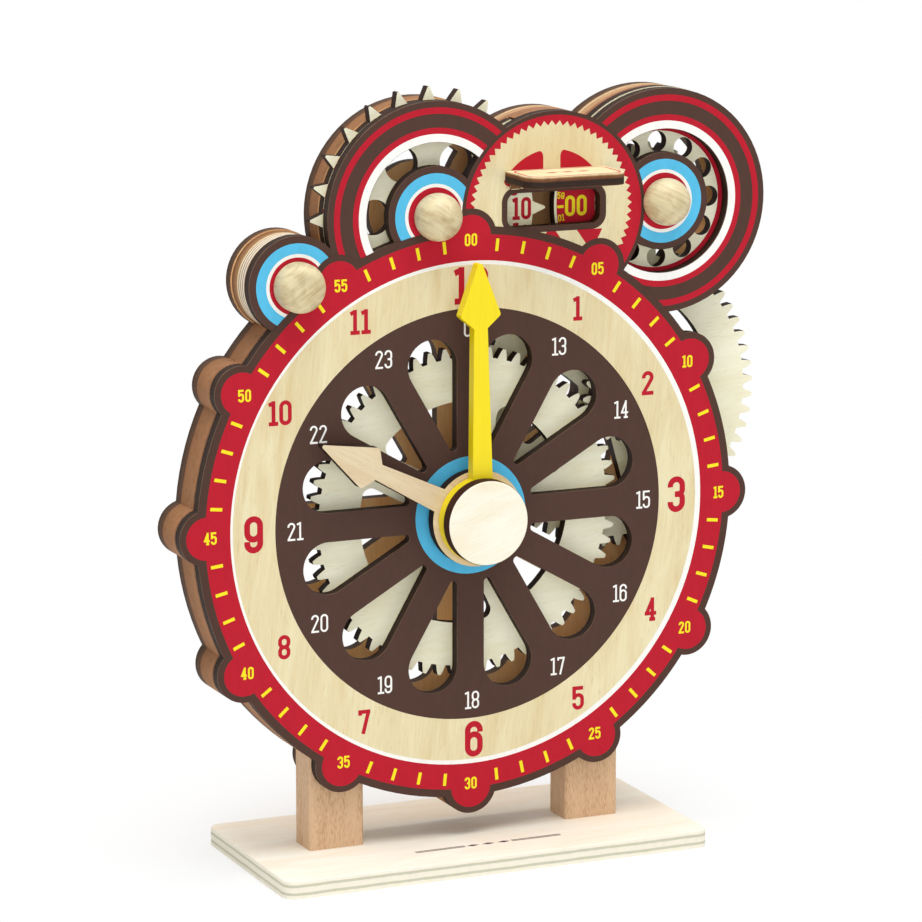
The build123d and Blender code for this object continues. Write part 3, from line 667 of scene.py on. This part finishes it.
class CLOCK_OT_wood_finishes(bpy.types.Operator):
    """Give every solid of the clock its wood, lacquer or metal"""

    bl_idname = "clock.wood_finishes"
    bl_label = "Wood finishes"

    # Colours of the cut edges against millimetres from the dial's face, or from the piece's underside
    FRONT_EDGE = (
        (0.0, "#8a6f5a"), (0.4, "#6f5644"), (1.0, "#31221a"), (2.2, "#3b291f"), (3.8, "#302119"),
        (4.8, "#281a13"), (5.5, "#170e0a"),
    )
    RING_EDGE = (
        (5.5, "#2e1e15"), (6.3, "#8e623f"), (7.8, "#a67550"), (14.0, "#9c6e49"), (20.8, "#956743"),
        (21.8, "#805233"), (22.4, "#3c271b"), (23.0, "#5d4430"), (25.0, "#523a29"), (27.2, "#453021"),
        (28.0, "#241710"),
    )
    CROWN_EDGE = (
        (5.5, "#4a3022"), (6.2, "#8f6242"), (8.0, "#a97a55"), (10.0, "#8a5c40"), (11.6, "#b08460"),
        (12.2, "#7d4f38"), (13.2, "#b07c59"), (14.0, "#84543c"), (15.0, "#bb9068"), (19.3, "#bf966e"),
        (20.0, "#dcc59c"), (21.3, "#c6a074"), (22.0, "#6b4730"), (22.5, "#3a271c"),
    )
    SMALL_EDGE = (
        (5.5, "#6b4a33"), (6.0, "#f1e6d0"), (6.9, "#f1e6d0"), (7.2, "#a58059"), (7.8, "#a58059"),
        (8.1, "#f3e9d5"), (9.1, "#f3e9d5"), (9.4, "#a58059"), (10.0, "#a58059"), (10.3, "#f3e9d5"),
        (11.3, "#f3e9d5"), (11.6, "#a58059"), (12.2, "#a58059"), (12.5, "#f3e9d5"), (13.5, "#f1e4cb"),
        (13.8, "#a58059"), (14.4, "#a58059"), (14.7, "#ecdcbe"), (15.8, "#e4cfa8"), (16.6, "#a87c52"),
        (20.5, "#8a6140"), (22.5, "#5f4029"),
    )
    BURNT_EDGE = ((0.0, "#2b1b14"), (12.0, "#38251a"), (28.0, "#2b1b14"))
    CAP_EDGE = ((-25.0, "#3f231a"), (0.0, "#3f231a"))
    BASE_EDGE = (
        (0.0, "#f5f0df"), (1.4, "#f5f0df"), (1.7, "#cfcdb6"), (2.6, "#cfcdb6"), (2.9, "#f5f0df"),
        (5.0, "#f5f0df"), (5.3, "#cfcdb6"), (6.2, "#cfcdb6"), (6.5, "#f8f2e2"), (8.0, "#f8f2e2"),
    )
    FLAP_EDGE = (
        (-5.2, "#6d4a33"), (-4.7, "#3a2a22"), (-2.4, "#332722"), (-1.9, "#6b4630"), (-0.8, "#8a5a38"),
        (-0.4, "#d9b98a"), (0.0, "#efdcb4"),
    )

    def execute(self, context):
        colours = context.scene.clock_colours
        dial = colours.veneer, colours.veneer_streak
        wheel = colours.wheel, colours.wheel_streak
        stain = colours.stain, colours.stain_streak
        hand = colours.hand, colours.hand_streak
        cap = colours.cap, colours.cap_streak
        base = colours.base, colours.base_streak
        finishes = {
            plywood("birch plywood, printed", dial, self.FRONT_EDGE, 0.5, print_colour=colours.brown): (
                "front_plate",
            ),
            # Stained faces are painted paler than the wood, as painted light against the shade inside the
            # case; the cut edges keep their own colours.
            plywood("birch plywood, stained", stain, self.RING_EDGE, 0.3): (
                "rear_plate", "ring_spacer_right", "ring_spacer_bottom", "ring_spacer_left",
                "hour_circle_spacer",
            ),
            plywood("birch plywood, stained faces and tan edges", stain, self.CROWN_EDGE, 0.3): (
                "minute_circle_spacer", "crown_spacer",
            ),
            plywood("poplar plywood, laser cut", wheel, self.BURNT_EDGE, 0.5, axis="X", tilt=-8.0): (
                "side_gear", "side_pinion", "side_washer", "hour_gear", "minute_pinion",
                "drive_pinion", "minute_wheel", "hour_star", "star_collar",
            ),
            plywood("birch plywood, hand", hand, self.BURNT_EDGE, 0.5, axis="X", tilt=28.0): (
                "hour_hand", "hub_washer", "hinge_rail",
            ),
            plywood("birch plywood, cap", cap, self.CAP_EDGE, 0.5, axis="X", tilt=-18.0): ("hub_cap",),
            plywood("birch plywood, flap", dial, self.FLAP_EDGE, 0.5, "Z", FLAP_HIGH.z, "X"): ("flap",),
            plywood("birch plywood, layers", dial, self.SMALL_EDGE, 0.15): ("small_circle_spacer",),
            plywood("birch plywood, base", base, self.BASE_EDGE, 0.06, "Z", 0.0, "X"): ("base_plate",),
            beech(colours): ("leg_left", "leg_right"),
            turned_hardwood("maple, turned and waxed across", colours, -34.0): ("small_knob",),
            turned_hardwood("maple, turned and waxed", colours, 32.0): (
                "minute_knob", "hour_knob", "minute_shaft", "hour_sleeve", "side_axle",
                "minute_arbor", "hour_arbor", "small_arbor",
            ),
            yellow_lacquer(colours): ("minute_hand",),
            steel(): ("leg_screws", "carry_pin", "hinge_pin"),
        }
        for material, names in finishes.items():
            for name in names:
                mesh = frame["nodes"][name].data
                mesh.materials.clear()
                mesh.materials.append(material)
        return {"FINISHED"}


class CLOCK_OT_mix_inks(bpy.types.Operator):
    """Mix the inks of the print"""

    bl_idname = "clock.mix_inks"
    bl_label = "Mix inks"

    def execute(self, context):
        colours = context.scene.clock_colours
        for shade in ("red", "brown", "blue", "white", "yellow"):
            ink(f"{shade} ink", getattr(colours, shade))
        bare_birch(colours)
        return {"FINISHED"}


class CLOCK_OT_dial_print(bpy.types.Operator):
    """Print the dial: border, minute ring, hours and the numbers of the second half of the day"""

    bl_idname = "clock.dial_print"
    bl_label = "Dial print"

    # Layers of print under the numbers
    LEVEL = 4
    # Slip of the plain ring against the white line, and of the numbers 13 to 00 against the dial
    SLIP = Vector((-0.75 * MM, 0.15 * MM))
    DAY_SLIP = Vector((0.7 * MM, -0.3 * MM))
    # Millimetres by which some hour numbers stand off the even circle
    NUDGES = {2: (-2.4, 1.5), 3: (-1.3, 0.8), 5: (1.6, 0.0), 6: (1.5, 0.3), 10: (-1.1, 1.2), 11: (-1.3, 0.9)}

    def execute(self, context):
        sizes = context.scene.clock_print
        inks = bpy.data.materials
        centre = DIAL_CENTRE
        border = lobed(centre, sizes.border, sizes.border_lobe, sizes.lobe_distance)
        field = lobed(centre, sizes.minute_ring, sizes.minute_lobe, sizes.lobe_distance)
        white = circle(centre, sizes.white_ring)
        plain = circle(centre + self.SLIP, sizes.hour_ring)
        rings = (
            ("dial_border", border, field, "brown ink"),
            ("minute_ring", field, white, "red ink"),
            ("minute_ring_line", white, plain, "white ink"),
            ("hour_ring", plain, circle(centre, sizes.ground), "birch veneer, sanded"),
            ("hub_disc", circle(centre, sizes.hub_disc), circle(centre, sizes.hub_hole), "blue ink"),
        )
        for name, outer, inner, shade in rings:
            add_film(name, [outer, inner], self.LEVEL, inks[shade])
        marks = []
        minutes = []
        for minute in range(MINUTES):
            angle = 360 / MINUTES * minute
            if minute % NUMBERED:
                marks.append(bar(centre, sizes.mark_inner, sizes.mark_outer, sizes.mark_width, angle))
            else:
                place = polar(centre, sizes.minute_radius, angle)
                minutes += number(f"{minute:02d}", sizes.minute_figures, NARROW, MEDIUM, place)
        hours = []
        day = []
        for hour in range(1, HOURS + 1):
            angle = 360 / HOURS * hour
            height = sizes.hour_figures if hour % QUARTER else sizes.quarter_figures
            nudge = Vector(self.NUDGES.get(hour, (0, 0))) * MM
            place = Vector(polar(centre, sizes.hour_radius, angle)) + nudge
            hours += number(str(hour), height, WIDE, MEDIUM, place)
            later = (hour + HOURS) % (2 * HOURS)
            place = polar(centre + self.DAY_SLIP, sizes.day_radius, angle)
            day += number(f"{later:02d}", sizes.day_figures, SLIM, LIGHT, place)
        add_film("minute_marks", marks, self.LEVEL + 1, inks["yellow ink"])
        add_numbers("minute_numbers", minutes, self.LEVEL, inks["yellow ink"])
        add_numbers("hour_numbers", hours, self.LEVEL, inks["red ink"])
        add_numbers("day_numbers", day, 0, inks["white ink"])
        return {"FINISHED"}


class CLOCK_OT_circle_prints(bpy.types.Operator):
    """Print the rings of the hour circle, the minute circle and the small circle"""

    bl_idname = "clock.circle_prints"
    bl_label = "Circle prints"

    # Clockwise stretches that stay clear of the window and end under the dial
    STRETCHES = (("hour_circle", HOUR_CENTRE, (-127, 68)), ("minute_circle", MINUTE_CENTRE, (-68, 248)))

    def execute(self, context):
        sizes = context.scene.clock_print
        inks = bpy.data.materials
        bands = (
            ("outer_band", sizes.band_outer, sizes.band_inner, "red ink"),
            ("inner_band", sizes.line_outer, sizes.line_inner, "red ink"),
            ("white_band", sizes.line_inner, sizes.opening, "white ink"),
        )
        for circle_name, centre, ends in self.STRETCHES:
            for name, outer, inner, shade in bands:
                outline = band(centre, outer, inner, *ends)
                add_film(f"{circle_name}_{name}", [outline], 1, inks[shade])
        rosettes = (("hour", HOUR_CENTRE), ("minute", MINUTE_CENTRE), ("small", SMALL_CENTRE))
        rings = (
            ("ring", sizes.rosette, sizes.rosette_line, "blue ink"),
            ("line", sizes.rosette_line, sizes.rosette_field, "white ink"),
            ("field", sizes.rosette_field, sizes.rosette_hole, "red ink"),
        )
        for rosette, centre in rosettes:
            for name, outer, inner, shade in rings:
                outlines = [circle(centre, outer), circle(centre, inner)]
                add_film(f"{rosette}_rosette_{name}", outlines, 1, inks[shade])
        return {"FINISHED"}


class CLOCK_OT_centre_print(bpy.types.Operator):
    """Print the gear picture round the window"""

    bl_idname = "clock.centre_print"
    bl_label = "Centre circle print"

    TEETH = 65
    SPOKES = 5
    # Shift of the gear against the circle
    SHIFT = Vector((-1.3 * MM, 1.0 * MM))
    RIM_STEPS = 12
    HUB_STEPS = 4
    CORNER_SEGMENTS = 5
    LEVEL = 2

    def opening(self, sizes, middle):
        """Face of one opening of the printed gear, with rounded corners."""
        half = sizes.picture_spoke / 2
        pitch = 180 / self.SPOKES
        centre = CIRCLE_CENTRE + self.SHIFT
        outer = pitch - degrees(asin(half / sizes.picture_window))
        inner = pitch - degrees(asin(half / sizes.picture_hub))
        points = arc(centre, sizes.picture_window, middle - outer, middle + outer, self.RIM_STEPS)
        points += arc(centre, sizes.picture_hub, middle + inner, middle - inner, self.HUB_STEPS)
        shape = bmesh.new()
        corners = [shape.verts.new((x, y, 0)) for x, y in points]
        shape.faces.new(corners)
        bmesh.ops.bevel(
            shape, geom=[corners[0], corners[self.RIM_STEPS]], offset=sizes.picture_corner,
            offset_type="OFFSET", affect="VERTICES", segments=self.CORNER_SEGMENTS, profile=0.5, material=-1,
        )
        return shape

    def execute(self, context):
        sizes = context.scene.clock_print
        inks = bpy.data.materials
        rim_width = sizes.window_width + 2 * sizes.window_rim
        rim_height = sizes.window_height + 2 * sizes.window_rim
        rim = plaque(WINDOW_CENTRE, rim_width, rim_height, sizes.window_corner + sizes.window_rim)
        edge = circle(CIRCLE_CENTRE, sizes.circle_edge)
        field = circle(CIRCLE_CENTRE, sizes.circle_field)
        gear = toothed(CIRCLE_CENTRE + self.SHIFT, sizes.picture_tip, sizes.picture_root, self.TEETH)
        add_film("centre_circle_border", [edge, field], self.LEVEL, inks["brown ink"])
        add_film("centre_circle_field", [field, gear], self.LEVEL, inks["red ink"])
        add_film("centre_circle_gear", [gear, rim], self.LEVEL, inks["birch veneer, sanded"])
        thickness = (self.LEVEL + 1) * sizes.film
        for k in range(self.SPOKES):
            for half, sign in (("upper", 1), ("lower", -1)):
                shape = self.opening(sizes, 360 / self.SPOKES * (k + 0.5))
                bmesh.ops.bisect_plane(
                    shape, geom=shape.verts[:] + shape.edges[:] + shape.faces[:], clear_inner=True,
                    plane_co=(0, WINDOW_CENTRE[1] + sign * rim_height / 2, 0), plane_no=(0, sign, 0),
                )
                if not shape.faces:
                    shape.free()
                    continue
                raised = bmesh.ops.extrude_face_region(shape, geom=shape.faces[:])
                moved = [part for part in raised["geom"] if isinstance(part, bmesh.types.BMVert)]
                bmesh.ops.translate(shape, verts=moved, vec=(0, 0, thickness))
                name = f"centre_circle_opening_{k + 1}_{half}"
                mesh = bpy.data.meshes.new(name)
                shape.to_mesh(mesh)
                shape.free()
                add_piece(name, mesh, facing(FACE_Y), CASE, inks["red ink"])
        return {"FINISHED"}


class CLOCK_OT_star_numbers(bpy.types.Operator):
    """Print 00 to 23 on the hour star"""

    bl_idname = "clock.star_numbers"
    bl_label = "Hour star numbers"

    COUNT = 24
    SHOWN = 10
    WINDOW_ANGLE = 90

    def execute(self, context):
        sizes = context.scene.clock_print
        strokes = []
        for hour in range(self.COUNT):
            turn = 360 / self.COUNT * (hour - self.SHOWN)
            place = polar(HOUR_CENTRE, sizes.star_radius, self.WINDOW_ANGLE + turn)
            strokes += number(f"{hour:02d}", sizes.star_figures, NARROW, MEDIUM, place, turn)
        add_numbers("star_numbers", strokes, 0, bpy.data.materials["red ink"], STAR_Y, "hour_star_set")
        return {"FINISHED"}


class CLOCK_OT_wheel_numbers(bpy.types.Operator):
    """Print the red band and 00 to 59 on the minute wheel"""

    bl_idname = "clock.wheel_numbers"
    bl_label = "Minute wheel numbers"

    WINDOW_ANGLE = 269
    # Inner end, outer end and width of the dash beyond a large number
    DASH = (45.6 * MM, 48.7 * MM, 1.2 * MM)

    def execute(self, context):
        sizes = context.scene.clock_print
        inks = bpy.data.materials
        wheel = "minute_wheel_set"
        outlines = [circle(MINUTE_CENTRE, sizes.wheel_outer), circle(MINUTE_CENTRE, sizes.wheel_inner)]
        add_film("minute_wheel_band", outlines, 1, inks["red ink"], WHEEL_Y, wheel)
        strokes = []
        dashes = []
        for minute in range(MINUTES):
            turn = -360 / MINUTES * minute
            angle = self.WINDOW_ANGLE + turn
            if minute % NUMBERED:
                radius, height = sizes.wheel_small_radius, sizes.wheel_small
            else:
                radius, height = sizes.wheel_radius, sizes.wheel_figures
                dashes.append(bar(MINUTE_CENTRE, *self.DASH, angle))
            place = polar(MINUTE_CENTRE, radius, angle)
            strokes += number(f"{minute:02d}", height, WIDE, MEDIUM, place, turn)
        add_numbers("minute_wheel_numbers", strokes, 1, inks["yellow ink"], WHEEL_Y, wheel)
        add_film("minute_wheel_dashes", dashes, 2, inks["yellow ink"], WHEEL_Y, wheel)
        return {"FINISHED"}


class CLOCK_OT_flap_print(bpy.types.Operator):
    """Print a line round the flap's outer face, with a row of lozenges in its middle"""

    bl_idname = "clock.flap_print"
    bl_label = "Flap print"

    def execute(self, context):
        sizes = context.scene.clock_print
        red = bpy.data.materials["red ink"]
        centre = ((FLAP_LOW + FLAP_HIGH) / 2).xy
        width, depth = (FLAP_HIGH - FLAP_LOW).xy
        outlines = []
        for inset in (sizes.flap_inset, sizes.flap_inset + sizes.flap_line):
            corner = sizes.flap_corner + sizes.flap_inset - inset
            outlines.append(plaque(centre, width - 2 * inset, depth - 2 * inset, corner))
        add_top_film("flap_line", outlines, FLAP_HIGH.z, "window_flap", red)
        add_top_film("flap_lozenges", lozenges(centre, sizes.lozenge), FLAP_HIGH.z, "window_flap", red)
        return {"FINISHED"}


class CLOCK_OT_base_ornament(bpy.types.Operator):
    """Print lozenges between two lines on the base"""

    bl_idname = "clock.base_ornament"
    bl_label = "Base ornament"

    LINE_WIDTH = 0.7 * MM

    def execute(self, context):
        sizes = context.scene.clock_print
        brown = bpy.data.materials["brown ink"]
        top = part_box("base_plate")[1].z
        middle = Vector(sizes.ornament_place)
        outlines = lozenges(middle, sizes.lozenge)
        reach = sizes.lozenge * LOZENGE_PITCH * LOZENGES / 2 + sizes.ornament_line / 2
        for side in (-1, 1):
            for shift in (-1, 1):
                place = middle + Vector((side * reach, shift * self.LINE_WIDTH))
                outlines.append(plaque(place, sizes.ornament_line, self.LINE_WIDTH, self.LINE_WIDTH / 3))
        add_top_film("base_ornament", outlines, top, CASE, brown)
        return {"FINISHED"}


class CLOCK_OT_stage(bpy.types.Operator):
    """Set the floor, the light and the camera"""

    bl_idname = "clock.stage"
    bl_label = "Stage"

    FLOOR_RADIUS = 4.0
    FLOOR_SIDES = 96
    FADE = (0.0, 0.2)
    KEY_PLACE = (-0.7, -2.4, 0.9)
    TOP_PLACE = (0.0, -0.55, 2.7)
    LAMP_SIZE = 2.0
    SENSOR_WIDTH = 36.0

    def seen(self, tree):
        """One for rays that show the surface itself: seen directly, mirrored or through glass."""
        path = add(tree, "ShaderNodeLightPath").outputs
        shown = path["Is Camera Ray"]
        for ray in ("Is Glossy Ray", "Is Transmission Ray"):
            shown = add(tree, "ShaderNodeMath", {0: shown, 1: path[ray]}, operation="MAXIMUM").outputs[0]
        return shown

    def floor(self):
        """Pale paper that fades to white away from the clock."""
        material, tree, shader = blank("paper, matt white", 0.9, 0.1)
        tooth = figure(tree, (1.5, 1.5, 1.5), 2.0)
        inputs = {0: tooth, 6: linear("#f4f4f2"), 7: linear("#f8f8f7")}
        tone = add(tree, "ShaderNodeMix", inputs, data_type="RGBA")
        tree.links.new(tone.outputs[2], shader.inputs["Base Color"])
        place = add(tree, "ShaderNodeTexCoord")
        reach = add(tree, "ShaderNodeVectorMath", {0: place.outputs["Object"]}, operation="LENGTH")
        span = {"Value": reach.outputs["Value"], "From Min": self.FADE[0], "From Max": self.FADE[1]}
        fade = add(tree, "ShaderNodeMapRange", span, interpolation_type="SMOOTHSTEP")
        amount = add(tree, "ShaderNodeMath", {0: fade.outputs[0], 1: self.seen(tree)}, operation="MULTIPLY")
        glow = add(tree, "ShaderNodeEmission", {"Strength": 1.0})
        inputs = {0: amount.outputs[0], 1: shader.outputs[0], 2: glow.outputs[0]}
        mixed = add(tree, "ShaderNodeMixShader", inputs)
        tree.links.new(mixed.outputs[0], tree.nodes["Material Output"].inputs["Surface"])
        shape = bmesh.new()
        bmesh.ops.create_circle(shape, cap_ends=True, segments=self.FLOOR_SIDES, radius=self.FLOOR_RADIUS)
        mesh = bpy.data.meshes.new("floor")
        shape.to_mesh(mesh)
        shape.free()
        mesh.materials.append(material)
        floor = bpy.data.objects.new("floor", mesh)
        bpy.context.scene.collection.objects.link(floor)

    def world(self, strength):
        """Even light from all round, white where it is seen."""
        world = bpy.data.worlds.new("studio")
        world.use_nodes = True
        tree = world.node_tree
        light = tree.nodes["Background"]
        light.inputs["Color"].default_value = linear("#ffffff")
        light.inputs["Strength"].default_value = strength
        white = add(tree, "ShaderNodeBackground", {"Color": linear("#ffffff"), "Strength": 1.0})
        inputs = {0: self.seen(tree), 1: light.outputs[0], 2: white.outputs[0]}
        mixed = add(tree, "ShaderNodeMixShader", inputs)
        tree.links.new(mixed.outputs[0], tree.nodes["World Output"].inputs["Surface"])
        bpy.context.scene.world = world

    def execute(self, context):
        stage = context.scene.clock_stage
        context.scene.view_settings.view_transform = "Standard"
        self.floor()
        self.world(stage.sky)
        aim = Vector(stage.aim)
        for name, power, place in (("key", stage.key, self.KEY_PLACE), ("top", stage.top, self.TOP_PLACE)):
            light = bpy.data.lights.new(name, "AREA")
            light.energy = power
            light.size = self.LAMP_SIZE
            lamp = bpy.data.objects.new(name, light)
            lamp.location = place
            lamp.rotation_euler = (Vector(place) - aim).to_track_quat("Z", "Y").to_euler()
            context.scene.collection.objects.link(lamp)
        flat = cos(stage.elevation)
        back = Vector((sin(stage.azimuth) * flat, -cos(stage.azimuth) * flat, sin(stage.elevation)))
        lens = bpy.data.cameras.new("camera")
        lens.lens = stage.lens
        lens.sensor_width = self.SENSOR_WIDTH
        camera = bpy.data.objects.new("camera", lens)
        camera.location = aim + back * stage.distance
        camera.rotation_euler = back.to_track_quat("Z", "Y").to_euler()
        context.scene.collection.objects.link(camera)
        context.scene.camera = camera
        return {"FINISHED"}


OPERATORS = (
    CLOCK_OT_wood_finishes,
    CLOCK_OT_mix_inks,
    CLOCK_OT_dial_print,
    CLOCK_OT_circle_prints,
    CLOCK_OT_centre_print,
    CLOCK_OT_star_numbers,
    CLOCK_OT_wheel_numbers,
    CLOCK_OT_flap_print,
    CLOCK_OT_base_ornament,
    CLOCK_OT_stage,
)


class CLOCK_PT_sidebar(bpy.types.Panel):
    """Pieces of the clock's finish"""

    bl_label = "Teaching clock"
    bl_idname = "CLOCK_PT_sidebar"
    bl_space_type = "VIEW_3D"
    bl_region_type = "UI"
    bl_category = "Clock"

    def draw(self, context):
        for operator in OPERATORS:
            self.layout.operator(operator.bl_idname)
        for group in (context.scene.clock_colours, context.scene.clock_print, context.scene.clock_stage):
            box = self.layout.box()
            for name in group.__annotations__:
                box.prop(group, name)


CLASSES = (ClockColours, ClockPrint, ClockStage, *OPERATORS, CLOCK_PT_sidebar)


def register():
    for item in CLASSES:
        bpy.utils.register_class(item)
    bpy.types.Scene.clock_colours = PointerProperty(type=ClockColours)
    bpy.types.Scene.clock_print = PointerProperty(type=ClockPrint)
    bpy.types.Scene.clock_stage = PointerProperty(type=ClockStage)


def unregister():
    del bpy.types.Scene.clock_stage
    del bpy.types.Scene.clock_print
    del bpy.types.Scene.clock_colours
    for item in reversed(CLASSES):
        bpy.utils.unregister_class(item)


def main():
    register()
    bpy.ops.clock.wood_finishes()
    bpy.ops.clock.mix_inks()
    bpy.ops.clock.dial_print()
    bpy.ops.clock.circle_prints()
    bpy.ops.clock.centre_print()
    bpy.ops.clock.star_numbers()
    bpy.ops.clock.wheel_numbers()
    bpy.ops.clock.flap_print()
    bpy.ops.clock.base_ornament()
    bpy.ops.clock.stage()


if __name__ == "__main__":
    main()
